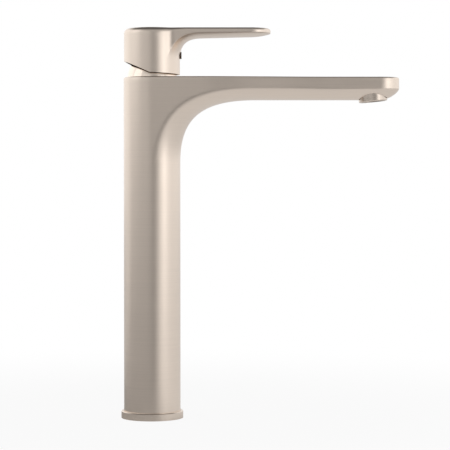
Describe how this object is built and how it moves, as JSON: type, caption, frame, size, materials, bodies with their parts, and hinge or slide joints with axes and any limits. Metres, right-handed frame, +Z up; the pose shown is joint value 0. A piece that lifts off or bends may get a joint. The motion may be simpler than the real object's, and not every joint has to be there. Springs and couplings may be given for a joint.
{
  "type": "basin mixer faucet",
  "caption": "Tall single-lever basin mixer: round column, long flat tapering spout with a round aerated outlet, and a flat paddle lever that lifts for flow and swings for temperature.",
  "frame": {"origin": "column axis at the deck plane, centre of the two stud holes", "axes": "+Z up along the column, +X forward towards the spout's end, +Y to the side"},
  "size_m": [0.2259, 0.0504, 0.3162],
  "materials": {
    "brushed_shell": "fine brushed, warm nickel tone",
    "satin_handle": "satin, warm nickel tone",
    "polished_dome": "polished, warm nickel tone",
    "aerator_metal": "satin, warm nickel tone",
    "dark_plug": "dark, smooth",
    "outlet_plastic": "dark, matte",
    "brass_parts": "machined",
    "cartridge_plastic": "moulded",
    "ceramic": "lapped",
    "seal_rubber": "matte",
    "steel_parts": "turned"
  },
  "bodies": {
    "body": {"body_shell": "brushed_shell", "base_ring": "brushed_shell", "base_o_ring": "seal_rubber", "mounting_insert": "brass_parts", "valve_core": "brass_parts", "core_o_rings": "seal_rubber", "seat_seals": "seal_rubber", "cartridge_base": "cartridge_plastic", "disc_port_seals": "seal_rubber", "fixed_disc": "ceramic", "cartridge_housing": "cartridge_plastic", "slip_ring": "cartridge_plastic", "cartridge_nut": "brass_parts", "dome_cap": "polished_dome", "aerator_housing": "aerator_metal", "aerator_insert": "outlet_plastic", "aerator_screen": "steel_parts", "aerator_washer": "seal_rubber"},
    "cartridge_rotor": {"swivel_rotor": "cartridge_plastic", "stem_pin": "steel_parts"},
    "disc_slide_body": {"moving_disc": "ceramic", "disc_carrier": "cartridge_plastic"},
    "lever": {"lever_handle": "satin_handle", "stem": "steel_parts", "grub_screw": "steel_parts", "index_plug": "dark_plug"}
  },
  "joints": [
    {"name": "temperature_swivel", "type": "hinge", "parent": "body", "child": "cartridge_rotor", "pos_m": [0, 0, 0.278], "axis": [0, 0, 1], "range_deg": [-50, 50]},
    {"name": "lever_lift", "type": "hinge", "parent": "cartridge_rotor", "child": "lever", "pos_m": [0, 0, 0.281], "axis": [0, -1, 0], "range_deg": [0, 24]},
    {"name": "disc_slide", "type": "slide", "parent": "cartridge_rotor", "child": "disc_slide_body", "axis": [1, 0, 0], "range_m": [0, 0.00407]}
  ],
  "couplings": [
    {"joint": "disc_slide", "follows": "lever_lift", "m_per_rad": 0.0097101}
  ]
}
